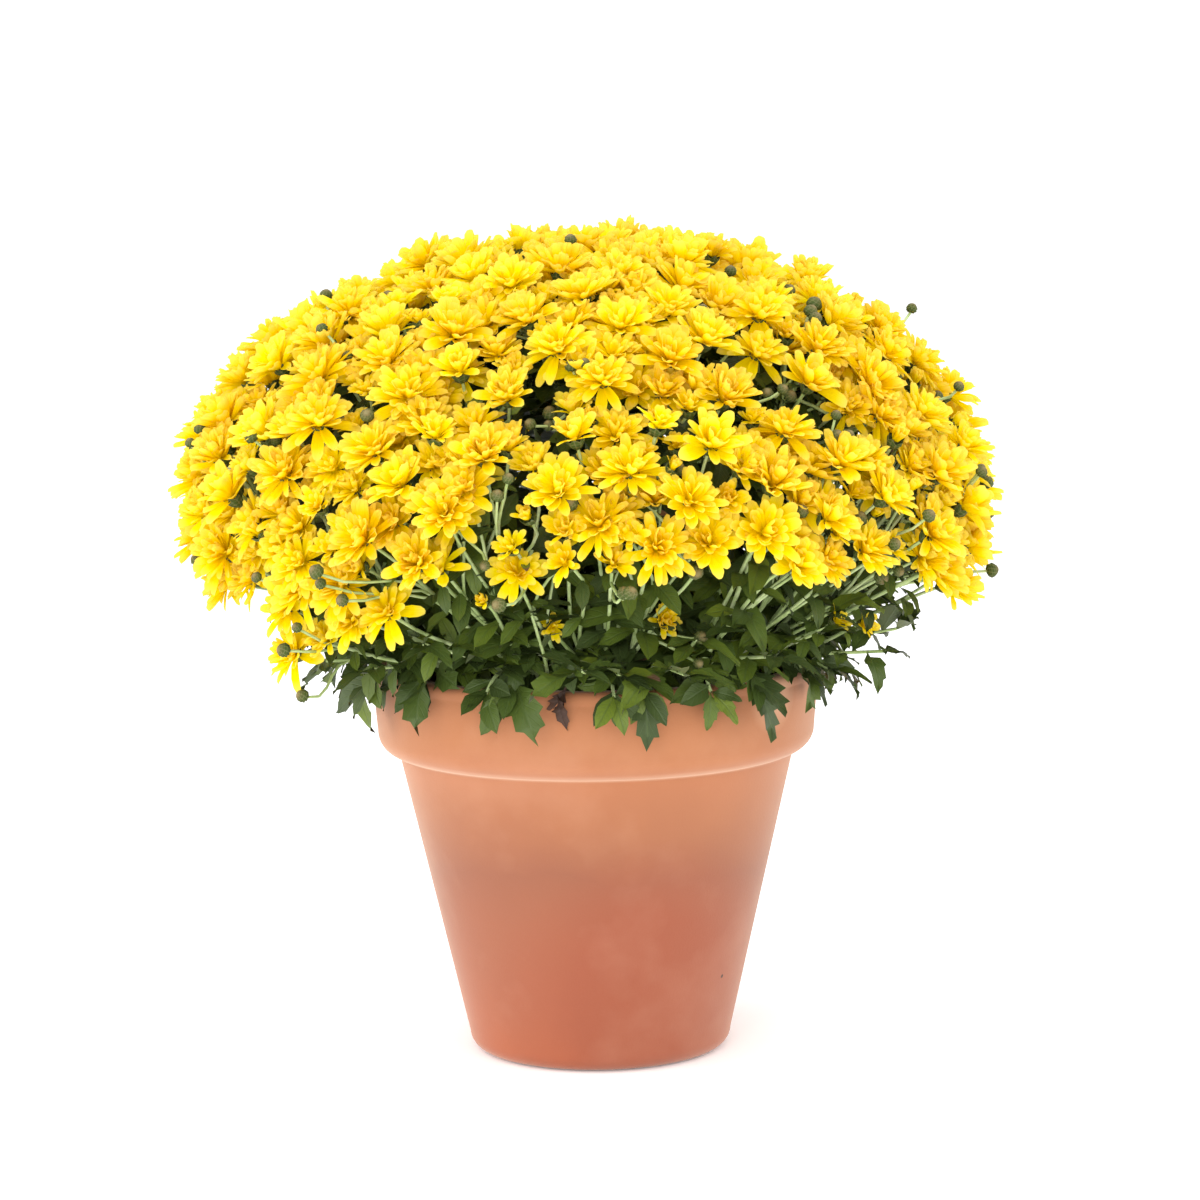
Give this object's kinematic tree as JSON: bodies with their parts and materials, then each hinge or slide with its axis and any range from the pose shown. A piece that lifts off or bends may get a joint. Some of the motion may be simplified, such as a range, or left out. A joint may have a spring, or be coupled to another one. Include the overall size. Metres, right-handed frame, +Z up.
{
  "type": "potted chrysanthemum",
  "caption": "Rounded garden chrysanthemum in full yellow flower, grown as leafy sprays from the soil of a rimmed terracotta pot; stands on a floor or table as decoration.",
  "frame": {"origin": "on the surface the pot stands on, at the middle of the whole plant's box, which lies within 4 mm of the pot's axis", "axes": "+Z up along the pot's axis; the picture looks along +Y, with +X to its right"},
  "size_m": [0.4736, 0.4745, 0.4737],
  "materials": {
    "terracotta": "unglazed fired clay, matt, with a faint whitish bloom and darker damp patches on the body",
    "soil": "dark moist peat-based potting soil with crumbs, matt",
    "foliage": "dark green lobed leaves, satin, with grey-green stems and round scaly green buds",
    "petal": "lemon to golden yellow ray petals, soft satin, deeper orange towards the middle"
  },
  "bodies": {
    "root": {"terracotta_pot": "terracotta", "soil": "soil", "spray_01_stem_and_leaves": "foliage", "spray_01_blooms": "petal", "spray_02_stem_and_leaves": "foliage", "spray_02_blooms": "petal", "spray_03_stem_and_leaves": "foliage", "spray_03_blooms": "petal", "spray_04_stem_and_leaves": "foliage", "spray_04_blooms": "petal", "spray_05_stem_and_leaves": "foliage", "spray_05_blooms": "petal", "spray_06_stem_and_leaves": "foliage", "spray_06_blooms": "petal", "spray_07_stem_and_leaves": "foliage", "spray_07_blooms": "petal", "spray_08_stem_and_leaves": "foliage", "spray_08_blooms": "petal", "spray_09_stem_and_leaves": "foliage", "spray_09_blooms": "petal", "spray_10_stem_and_leaves": "foliage", "spray_10_blooms": "petal", "spray_11_stem_and_leaves": "foliage", "spray_11_blooms": "petal", "spray_12_stem_and_leaves": "foliage", "spray_12_blooms": "petal", "spray_13_stem_and_leaves": "foliage", "spray_13_blooms": "petal", "spray_14_stem_and_leaves": "foliage", "spray_14_blooms": "petal", "spray_15_stem_and_leaves": "foliage", "spray_15_blooms": "petal", "spray_16_stem_and_leaves": "foliage", "spray_16_blooms": "petal", "spray_17_stem_and_leaves": "foliage", "spray_17_blooms": "petal", "spray_18_stem_and_leaves": "foliage", "spray_18_blooms": "petal", "spray_19_stem_and_leaves": "foliage", "spray_19_blooms": "petal", "spray_20_stem_and_leaves": "foliage", "spray_20_blooms": "petal", "spray_21_stem_and_leaves": "foliage", "spray_21_blooms": "petal", "spray_22_stem_and_leaves": "foliage", "spray_22_blooms": "petal", "spray_23_stem_and_leaves": "foliage", "spray_23_blooms": "petal", "spray_24_stem_and_leaves": "foliage", "spray_24_blooms": "petal"}
  },
  "joints": []
}
